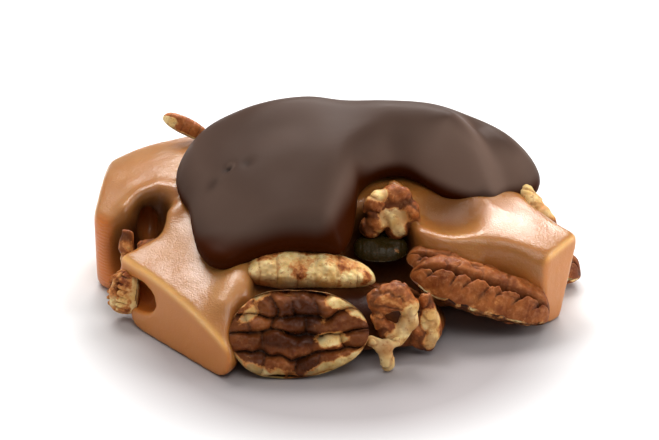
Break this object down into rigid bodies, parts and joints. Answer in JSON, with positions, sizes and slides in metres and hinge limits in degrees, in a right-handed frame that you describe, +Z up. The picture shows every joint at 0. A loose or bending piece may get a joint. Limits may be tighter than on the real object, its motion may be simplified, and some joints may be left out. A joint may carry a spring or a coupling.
{
  "type": "pecan caramel cluster",
  "caption": "Poured caramel cluster with pecan halves and broken pecans, trimmed lobes and a thick pool of chocolate on top.",
  "frame": {"origin": "middle of the footprint, on the surface that the candy rests on", "axes": "+Z up, +X to the viewer's right along the candy's length, -Y towards the viewer"},
  "size_m": [0.0992, 0.0746, 0.0362],
  "materials": {
    "chocolate": "satin, set milk and dark chocolate",
    "caramel": "satin, slightly sticky soft caramel",
    "pecan": "matte toasted nut, pale where it is broken"
  },
  "bodies": {
    "root": {"caramel": "caramel", "chocolate": "chocolate", "pecan_back_left": "pecan", "pecan_back_middle": "pecan", "pecan_back_right": "pecan", "pecan_chip_low": "pecan", "pecan_chip_middle": "pecan", "pecan_chip_right": "pecan", "pecan_crown": "pecan", "pecan_deep": "pecan", "pecan_far_right": "pecan", "pecan_front_lower": "pecan", "pecan_front_upper": "pecan", "pecan_gap_brown": "pecan", "pecan_gap_pale": "pecan", "pecan_notch": "pecan", "pecan_recess_low": "pecan", "pecan_right_back": "pecan", "pecan_right_lower": "pecan", "pecan_right_upper": "pecan", "pecan_sliver": "pecan"}
  },
  "joints": []
}
